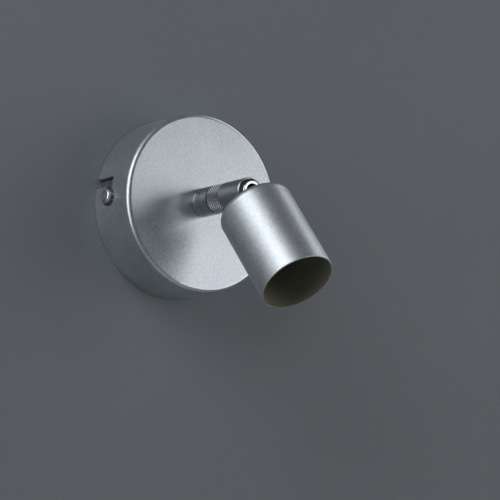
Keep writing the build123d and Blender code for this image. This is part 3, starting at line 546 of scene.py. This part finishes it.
# ---- Geometry node trees ----
class Grower(Tree):
    """A geometry node tree with named size inputs, run once on an empty mesh."""

    def __init__(self, name, **sizes):
        self.tree = bpy.data.node_groups.new(name, "GeometryNodeTree")
        sockets = self.tree.interface
        sockets.new_socket("Geometry", in_out="OUTPUT", socket_type="NodeSocketGeometry")
        sockets.new_socket("Geometry", in_out="INPUT", socket_type="NodeSocketGeometry")
        kinds = {int: "NodeSocketInt", float: "NodeSocketFloat"}
        for key, value in sizes.items():
            sockets.new_socket(key, in_out="INPUT", socket_type=kinds[type(value)])
        self.sizes = sizes
        self.source = self.tree.nodes.new("NodeGroupInput")
        self.sink = self.tree.nodes.new("NodeGroupOutput")

    def size(self, key):
        return Wire(self.tree, self.source.outputs[key])

    def vector(self, x=0.0, y=0.0, z=0.0):
        return self.node("ShaderNodeCombineXYZ", values={"X": x, "Y": y, "Z": z})

    def grow(self, name, geometry, material, place):
        """Realizes the tree's result as a plain mesh with its place baked in."""
        real = self.node("GeometryNodeRealizeInstances", values={"Geometry": geometry})
        painted = self.node("GeometryNodeSetMaterial", values={"Geometry": real, "Material": material})
        self.tree.links.new(painted.socket, self.sink.inputs[0])
        carrier = new_piece(name + "_carrier", bpy.data.meshes.new(name + "_carrier"))
        modifier = carrier.modifiers.new("grow", "NODES")
        modifier.node_group = self.tree
        sockets = {s.name: s.identifier for s in self.tree.interface.items_tree if s.in_out == "INPUT"}
        for key, value in self.sizes.items():
            modifier[sockets[key]] = value
        graph = bpy.context.evaluated_depsgraph_get()
        mesh = bpy.data.meshes.new_from_object(carrier.evaluated_get(graph))
        carrier.modifiers.clear()
        bpy.data.objects.remove(carrier)
        if not mesh.polygons:
            raise RuntimeError(f"{name} grew no faces")
        mesh.materials.clear()
        mesh.materials.append(material)
        return bake(new_piece(name, mesh), place)


def ring_of(grower, count, radius, shape):
    """Instances of a shape round the Y axis, each with its own +Z pointing outwards."""
    line = grower.node("GeometryNodePoints", values={"Count": count})
    index = grower.node("GeometryNodeInputIndex")
    angle = index * (2 * math.pi) / count
    spot = grower.vector(angle.math("SINE") * radius, 0.0, angle.math("COSINE") * radius)
    points = grower.node("GeometryNodeSetPosition", values={"Geometry": line, "Position": spot})
    turn = grower.node("FunctionNodeEulerToRotation", values={0: grower.vector(0.0, angle, 0.0)})
    return grower.node(
        "GeometryNodeInstanceOnPoints", values={"Points": points, "Instance": shape, "Rotation": turn}
    )


# ---- Settings ----
def length(name, description, default):
    return bpy.props.FloatProperty(
        name=name, description=description, default=default, min=0.0,
        subtype="DISTANCE", unit="LENGTH", precision=5,
    )


def number(name, description, default):
    return bpy.props.IntProperty(name=name, description=description, default=default, min=1)


def share(name, description, default):
    return bpy.props.FloatProperty(name=name, description=description, default=default, min=0.0, max=1.0)


def watts(name, description, default):
    return bpy.props.FloatProperty(
        name=name, description=description, default=default, min=0.0, unit="POWER"
    )


def tint(name, description, default):
    return bpy.props.FloatVectorProperty(
        name=name, description=description, default=default, size=4, subtype="COLOR", min=0.0, max=1.0
    )


class NickelSettings(bpy.types.PropertyGroup):
    """Colours and grain of the satin nickel plating."""

    metal: tint("Metal", "Light tone of the plating", linear(219, 225, 230))
    shade: tint("Shade", "Dark tone in the grain", linear(184, 191, 198))
    # Painted shade and a painted warm reflection for the cup's inside, in a dull olive, in place of the plating.
    inside: tint("Cup inside", "Dark lacquer inside the cup", linear(136, 135, 119))
    roughness: share("Roughness", "Mean roughness of the plating", 0.33)
    drawn: share("Drawn sides", "Extra roughness where the metal was drawn round the edge", 0.11)
    grain: bpy.props.FloatProperty(
        name="Grain", description="Grains of the blasted texture per millimetre", default=2.4, min=0.1
    )
    grain_depth: length("Grain depth", "Depth of the blasted texture", 0.000024)


class GripSettings(bpy.types.PropertyGroup):
    """Diamond knurl of the grip band on the arm."""

    around: number("Diamonds round", "Diamonds round the arm in one row", 36)
    rows: number("Rows", "Rows of diamonds along the arm", 11)
    start: length("Start", "Distance of the first row from the wall", 0.03735)
    pitch: length("Pitch", "Distance from row to row", 0.00078)
    foot: length("Foot radius", "Radius at the diamonds' feet", 0.00612)
    height: length("Height", "Height of a diamond", 0.00028)


class ScrewSettings(bpy.types.PropertyGroup):
    """Fine detail of the side screws and threads."""

    teeth: number("Teeth", "Ridges round a side screw's head", 26)
    ridge: length("Ridge", "Height of a ridge on a side screw's head", 0.00016)
    thread_pitch: length("Thread pitch", "Distance from thread to thread", 0.0007)


class LeadSettings(bpy.types.PropertyGroup):
    """The pair of leads through the ball joint."""

    radius: length("Radius", "Radius of one insulated lead", 0.0007)
    spacing: length("Spacing", "Distance between the leads' centres", 0.0016)
    spread: length("Spread", "Half the distance between the solder points", 0.0063)


class LensSettings(bpy.types.PropertyGroup):
    """Light-mixing facets on the lens."""

    across: number("Facets across", "Facets across the lens", 15)
    pitch: length("Facet pitch", "Distance from facet to facet", 0.0015)
    rise: length("Facet height", "Height of a facet", 0.00022)


class StageSettings(bpy.types.PropertyGroup):
    """Wall, floor, lamps and camera."""

    wall: tint("Wall", "Painted wall behind the light", linear(126, 132, 137))
    floor: tint("Floor", "Plain pale floor", linear(214, 214, 212))
    world: share("World", "Grey level of the world", 0.11)
    left: watts("Left lamp", "Power of the softbox up on the left", 4.1)
    left_front: watts("Left front lamp", "Power of the softbox up in front on the left", 1.3)
    left_low: watts("Low left lamp", "Power of the narrow softbox level with the light on the left", 2.2)
    right: watts("Right lamp", "Power of the wide softbox on the right", 3.4)
    side: watts("Side lamp", "Power of the softbox at the far right", 1.6)
    floor_lamp: watts("Floor lamp", "Power of the softbox that lights the floor", 3.0)
    rear: watts("Rear lamp", "Power of the softbox behind the wall, for the open back", 4.0)


SETTINGS = {
    "spotlight_nickel": NickelSettings,
    "spotlight_grip": GripSettings,
    "spotlight_screws": ScrewSettings,
    "spotlight_leads": LeadSettings,
    "spotlight_lens": LensSettings,
    "spotlight_stage": StageSettings,
}


# ---- Operators ----
class SPOTLIGHT_OT_finishes(bpy.types.Operator):
    """Gives every carried part its procedural finish"""

    bl_idname = "wall_spotlight.finishes"
    bl_label = "Finish the parts"

    def execute(self, context):
        for entry in frame["record"]["subparts"]:
            node = frame["nodes"][entry["node"]]
            slot = OWN_FINISH.get(entry["node"], entry["material_slot"])
            for place in node.material_slots:
                place.material = finish_for(slot)
        return {"FINISHED"}


class SPOTLIGHT_OT_grip(bpy.types.Operator):
    """Knurls the grip band of the arm with staggered diamonds"""

    bl_idname = "wall_spotlight.grip"
    bl_label = "Knurl the grip"

    def execute(self, context):
        grip = context.scene.spotlight_grip
        grower = Grower(
            "knurl", Around=grip.around, Rows=grip.rows, Start=grip.start, Pitch=grip.pitch,
            Foot=grip.foot, Height=grip.height,
        )
        around, rows = grower.size("Around"), grower.size("Rows")
        pitch, foot, height = grower.size("Pitch"), grower.size("Foot"), grower.size("Height")
        index = grower.node("GeometryNodeInputIndex")
        row = (index / around).math("FLOOR")
        angle = (index + row.math("MODULO", 2.0) * 0.5) * (2 * math.pi) / around
        along = 0.0 - (grower.size("Start") + row * pitch)
        reach = foot + height * 0.5
        spot = grower.vector(angle.math("SINE") * reach, along, angle.math("COSINE") * reach)
        line = grower.node("GeometryNodePoints", values={"Count": around * rows})
        points = grower.node("GeometryNodeSetPosition", values={"Geometry": line, "Position": spot})
        turn = grower.node("FunctionNodeEulerToRotation", values={0: grower.vector(0.0, angle, 0.0)})
        cone = {"Vertices": 4, "Radius Top": 0.26, "Radius Bottom": 1.0, "Depth": 1.0}
        diamond = grower.node("GeometryNodeMeshCone", {"fill_type": "NGON"}, cone)
        lowered = grower.node(
            "GeometryNodeTransform", values={"Geometry": diamond, "Translation": (0.0, 0.0, -0.5)}
        )
        half_width = foot * math.pi / around
        scale = grower.vector(half_width, pitch, height)
        diamonds = grower.node(
            "GeometryNodeInstanceOnPoints",
            values={"Points": points, "Instance": lowered, "Rotation": turn, "Scale": scale},
        )
        piece = grower.grow("grip_knurl", diamonds, finish_for("knurled_nickel"), canopy_frame())
        dress(piece, finish_for("knurled_nickel"), "arm")
        return {"FINISHED"}


def side_screw_frame(side, depth):
    """A frame on a side screw's axis, -Y pointing away from the canopy's centre."""
    place = Matrix.Rotation(SCREW_LINE + side * math.pi, 4, "Y")
    return place @ Matrix.Translation((-depth, 0.0, 0.0)) @ Matrix.Rotation(-math.pi / 2, 4, "Z")


class SPOTLIGHT_OT_screw_heads(bpy.types.Operator):
    """Ridges the rims of the two side screws' heads"""

    bl_idname = "wall_spotlight.screw_heads"
    bl_label = "Ridge the side screw heads"

    def execute(self, context):
        screws = context.scene.spotlight_screws
        low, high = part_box("side_screws")
        axis = Matrix.Translation((0.0, (low.y + high.y) / 2, 0.0))
        head_radius = (high.y - low.y) / 2
        material = finish_for("nickel_screw")
        for side in (0, 1):
            grower = Grower("head_ridges", Teeth=screws.teeth, Radius=head_radius, Ridge=screws.ridge)
            ridge = grower.size("Ridge")
            block = grower.node(
                "GeometryNodeMeshCube",
                values={"Size": grower.vector(ridge * 1.6, RIDGE_LENGTH, ridge * 2.0)},
            )
            ring = ring_of(grower, grower.size("Teeth"), grower.size("Radius"), block)
            place = axis @ side_screw_frame(side, SIDE_SCREW_SEAT + RIDGE_MIDDLE)
            piece = grower.grow(f"side_screw_ridges_{side + 1}", ring, material, place)
            dress(piece, material, "bracket")
        return {"FINISHED"}


class SPOTLIGHT_OT_threads(bpy.types.Operator):
    """Cuts a visible thread on the hollow bolt's tail"""

    bl_idname = "wall_spotlight.threads"
    bl_label = "Thread the hollow bolt"

    def execute(self, context):
        pitch = context.scene.spotlight_screws.thread_pitch
        bolt_end, nut_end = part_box("hollow_bolt")[1].y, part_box("bolt_nut")[1].y
        grower = Grower("thread", Pitch=pitch, Radius=BOLT_RADIUS, Tail=bolt_end - nut_end)
        step, radius = grower.size("Pitch"), grower.size("Radius")
        height = grower.size("Tail") - step
        spiral = grower.node(
            "GeometryNodeCurveSpiral",
            values={
                "Resolution": 48, "Rotations": height / step, "Start Radius": radius,
                "End Radius": radius, "Height": height,
            },
        )
        profile = grower.node(
            "GeometryNodeCurvePrimitiveCircle", values={"Resolution": 4, "Radius": step * 0.36}
        )
        ridge = grower.node(
            "GeometryNodeCurveToMesh",
            values={"Curve": spiral, "Profile Curve": profile, "Fill Caps": True},
        )
        tail_end = Matrix.Translation((0.0, bolt_end - pitch / 2, 0.0))
        place = tail_end @ Matrix.Rotation(math.pi / 2, 4, "X")
        piece = grower.grow("bolt_thread", ridge, finish_for("zinc_steel"), place)
        dress(piece, finish_for("zinc_steel"), "canopy")
        return {"FINISHED"}


class SPOTLIGHT_OT_lens_facets(bpy.types.Operator):
    """Covers the lens with light-mixing facets"""

    bl_idname = "wall_spotlight.lens_facets"
    bl_label = "Facet the lens"

    def execute(self, context):
        lens = context.scene.spotlight_lens
        grower = Grower("facets", Across=lens.across, Pitch=lens.pitch, Rise=lens.rise)
        across, pitch, rise = grower.size("Across"), grower.size("Pitch"), grower.size("Rise")
        index = grower.node("GeometryNodeInputIndex")
        row = (index / across).math("FLOOR")
        column = index - row * across
        middle = (across - 1.0) * 0.5
        x = (column - middle + (row.math("MODULO", 2.0) - 0.5) * 0.5) * pitch
        z = (row - middle) * pitch * (math.sqrt(3) / 2)
        line = grower.node("GeometryNodePoints", values={"Count": across * across})
        points = grower.node(
            "GeometryNodeSetPosition", values={"Geometry": line, "Position": grower.vector(x, 0.0, z)}
        )
        outside = grower.node(
            "FunctionNodeCompare",
            {"data_type": "FLOAT", "operation": "GREATER_THAN"},
            {0: (x * x + z * z) ** 0.5, 1: LENS_CLEAR_RADIUS},
        )
        kept = grower.node(
            "GeometryNodeDeleteGeometry", {"domain": "POINT"}, {"Geometry": points, "Selection": outside}
        )
        radius = pitch * FACET_BALL
        ball = grower.node(
            "GeometryNodeMeshUVSphere", values={"Segments": 12, "Rings": 8, "Radius": radius}
        )
        flat = grower.vector(1.0, rise / radius, 1.0)
        facets = grower.node(
            "GeometryNodeInstanceOnPoints", values={"Points": kept, "Instance": ball, "Scale": flat}
        )
        place = head_frame() @ Matrix.Translation((0.0, -LENS_FRONT, 0.0))
        piece = grower.grow("lens_facets", facets, finish_for("clear_lens"), place)
        smooth(piece.data)
        dress(piece, finish_for("clear_lens"), "head")
        return {"FINISHED"}


def lead_route(x, spread):
    """One lead's way: along the arm, through the ball and the stem, then out to its solder point."""
    in_arm = [Vector((x, -depth, 0.0)) for depth in (*ARM_ROUTE, -PIVOT.y)]
    head = head_frame()
    in_stem = [head @ Vector((x, -front, 0.0)) for front in STEM_ROUTE]
    to_board = [head @ Vector((spread, -front, 0.0)) for front in SOLDER_ROUTE]
    return in_arm + in_stem + to_board


class SPOTLIGHT_OT_lamp_leads(bpy.types.Operator):
    """Runs the pair of leads through the ball joint to the light unit"""

    bl_idname = "wall_spotlight.lamp_leads"
    bl_label = "Run the lamp leads"

    def execute(self, context):
        leads = context.scene.spotlight_leads
        curve = bpy.data.curves.new("lamp_leads_route", "CURVE")
        curve.dimensions = "3D"
        curve.bevel_depth = leads.radius
        curve.bevel_resolution = 5
        curve.use_fill_caps = True
        curve.resolution_u = 10
        for side in (-1, 1):
            points = lead_route(side * leads.spacing / 2, side * leads.spread)
            spline = curve.splines.new("NURBS")
            spline.points.add(len(points) - 1)
            for target, point in zip(spline.points, points):
                target.co = (*point, 1.0)
            spline.order_u = 3
            spline.use_endpoint_u = True
        carrier = new_piece("lamp_leads_carrier", curve)
        graph = bpy.context.evaluated_depsgraph_get()
        mesh = bpy.data.meshes.new_from_object(carrier.evaluated_get(graph))
        bpy.data.objects.remove(carrier)
        mesh.materials.clear()
        mesh.materials.append(finish_for("lamp_insulation"))
        smooth(mesh)
        piece = new_piece("lamp_leads_pair", mesh)
        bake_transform(piece)
        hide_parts("lamp_leads")
        return {"FINISHED"}


def sheet(name, corners, material):
    """A flat sheet with one face."""
    mesh = bpy.data.meshes.new(name)
    mesh.from_pydata(corners, [], [tuple(range(len(corners)))])
    mesh.materials.append(material)
    return new_piece(name, mesh)


def softbox(name, spot, target, size, power):
    """A soft rectangular lamp; its spot is azimuth (0 in front, 90 right), elevation and distance."""
    lamp = bpy.data.lights.new(name, "AREA")
    lamp.shape, lamp.energy = "RECTANGLE", power
    lamp.size, lamp.size_y = size
    box = bpy.data.objects.new(name, lamp)
    turn, lift = (math.radians(angle) for angle in spot[:2])
    away = Vector((math.sin(turn) * math.cos(lift), -math.cos(turn) * math.cos(lift), math.sin(lift)))
    box.location = PIVOT + away * spot[2]
    box.rotation_euler = (target - box.location).to_track_quat("-Z", "Y").to_euler()
    bpy.context.scene.collection.objects.link(box)


def painted(name, tone, grain, lets_light_in=False):
    """Smooth matt paint with a faint roller texture; its back lets the view through.

    A sheet that lets light in looks painted, but is open in its middle to everything except the view.
    """
    finish = Finish(name, Specular_IOR_Level=0.25)
    mm = finish.place()
    roller = finish.noise(mm, grain, 4.0, 0.6)
    patch = finish.noise(mm, 0.012, 3.0)
    dull = [c * 0.93 for c in tone[:3]] + [1.0]
    mixed = finish.colour((roller * 0.5 + patch * 0.5).rise(0.2, 0.8), dull, tone)
    rough = 0.8 + (roller - 0.5) * 0.1
    finish.surface(Base_Color=mixed, Roughness=rough, Normal=finish.bump(roller, 2e-4, 0.5))
    clear = finish.node("ShaderNodeBsdfTransparent")
    see_through = finish.node("ShaderNodeNewGeometry", out="Backfacing")
    if lets_light_in:
        _, radius = finish.round_y(mm)
        middle = 1.0 - radius.rise(COVER_OPENING, COVER_OPENING + 1.0)
        unseen = 1.0 - finish.node("ShaderNodeLightPath", out="Is Camera Ray")
        see_through = see_through.math("MAXIMUM", middle * unseen)
    shader = Wire(finish.tree, finish.shader.outputs[0])
    both = finish.node("ShaderNodeMixShader", values={0: see_through, 1: shader, 2: clear})
    finish.tree.links.new(both.socket, finish.output.inputs[0])
    return finish.material


def wall_circle():
    """Points on a circle in the wall, just within the canopy's edge."""
    angles = [2 * math.pi * step / COVER_STEPS for step in range(COVER_STEPS)]
    return [(COVER_RADIUS * math.sin(a), WALL_CLEARANCE, COVER_RADIUS * math.cos(a)) for a in angles]


def wall_outline(ring):
    """The points of a ring moved straight out to the wall's edges."""
    outer = []
    for x, y, z in ring:
        sideways = WALL_RIGHT / abs(x) if x else math.inf
        upright = (WALL_HIGH if z > 0 else -WALL_LOW) / abs(z) if z else math.inf
        stretch = min(sideways, upright)
        outer.append((x * stretch, y, z * stretch))
    return outer


def build_surfaces(look):
    """The wall with its round cover behind the canopy, and the floor."""
    ring = wall_circle()
    mesh = bpy.data.meshes.new("wall")
    following = [(step + 1) % COVER_STEPS for step in range(COVER_STEPS)]
    faces = [(i, COVER_STEPS + i, COVER_STEPS + after, after) for i, after in enumerate(following)]
    mesh.from_pydata(ring + wall_outline(ring), [], faces)
    mesh.materials.append(painted("wall_paint", look.wall, 0.5))
    wall = new_piece("wall", mesh)
    cover_paint = painted("wall_cover", look.wall, 0.5, lets_light_in=True)
    recess = sheet("wall_behind_canopy", ring, cover_paint)
    outline = ((-WALL_RIGHT, 0.0), (-WALL_RIGHT, -FLOOR_DEPTH), (WALL_RIGHT, -FLOOR_DEPTH), (WALL_RIGHT, 0.0))
    corners = [(x, y, WALL_LOW) for x, y in outline]
    floor = sheet("floor", corners, painted("floor_paint", look.floor, 0.3))
    for flat in (wall, recess):
        if flat.data.polygons[0].normal.y > 0:
            flat.data.flip_normals()
    if floor.data.polygons[0].normal.z < 0:
        floor.data.flip_normals()


def light_stage(scene, look):
    """The softboxes and the faint grey world."""
    for key, (spot, target, size) in LAMP_SPOTS.items():
        softbox(key + "_softbox", spot, target, size, getattr(look, key))
    world = bpy.data.worlds.new("studio")
    world.use_nodes = True
    scene.world = world
    grey = (look.world, look.world * 1.02, look.world * 1.05, 1.0)
    world.node_tree.nodes["Background"].inputs["Color"].default_value = grey


def place_camera(scene):
    """The camera fitted to the photo, and the plain view transform."""
    lens = bpy.data.cameras.new("photo_camera")
    lens.lens, lens.sensor_width, lens.sensor_fit = FOCAL_LENGTH, SENSOR_WIDTH, "HORIZONTAL"
    lens.clip_start, lens.clip_end = CLIP_NEAR, CLIP_FAR
    camera = bpy.data.objects.new("photo_camera", lens)
    camera.location = CAMERA_PLACE
    camera.rotation_euler = Euler([math.radians(angle) for angle in CAMERA_TURN], "XYZ")
    scene.collection.objects.link(camera)
    scene.camera = camera
    scene.view_settings.view_transform = "Standard"


class SPOTLIGHT_OT_stage(bpy.types.Operator):
    """Sets up the wall, the floor, the lamps and the camera"""

    bl_idname = "wall_spotlight.stage"
    bl_label = "Set the stage"

    def execute(self, context):
        scene = context.scene
        build_surfaces(scene.spotlight_stage)
        light_stage(scene, scene.spotlight_stage)
        place_camera(scene)
        return {"FINISHED"}


OPERATORS = [
    SPOTLIGHT_OT_finishes,
    SPOTLIGHT_OT_grip,
    SPOTLIGHT_OT_screw_heads,
    SPOTLIGHT_OT_threads,
    SPOTLIGHT_OT_lens_facets,
    SPOTLIGHT_OT_lamp_leads,
    SPOTLIGHT_OT_stage,
]


class SPOTLIGHT_PT_panel(bpy.types.Panel):
    """Lists the steps that dress the wall spotlight"""

    bl_idname = "SPOTLIGHT_PT_panel"
    bl_label = "Wall spotlight"
    bl_space_type = "VIEW_3D"
    bl_region_type = "UI"
    bl_category = "Wall spotlight"

    def draw(self, context):
        for step in OPERATORS:
            self.layout.operator(step.bl_idname)
        for key, group in SETTINGS.items():
            box = self.layout.box()
            for name in group.__annotations__:
                box.prop(getattr(context.scene, key), name)


CLASSES = [*SETTINGS.values(), *OPERATORS, SPOTLIGHT_PT_panel]


def register():
    for kind in CLASSES:
        bpy.utils.register_class(kind)
    for key, group in SETTINGS.items():
        setattr(bpy.types.Scene, key, bpy.props.PointerProperty(type=group))


def unregister():
    for key in SETTINGS:
        delattr(bpy.types.Scene, key)
    for kind in reversed(CLASSES):
        bpy.utils.unregister_class(kind)


def main():
    register()
    for step in OPERATORS:
        getattr(bpy.ops.wall_spotlight, step.bl_idname.split(".")[1])()


if __name__ == "__main__":
    main()
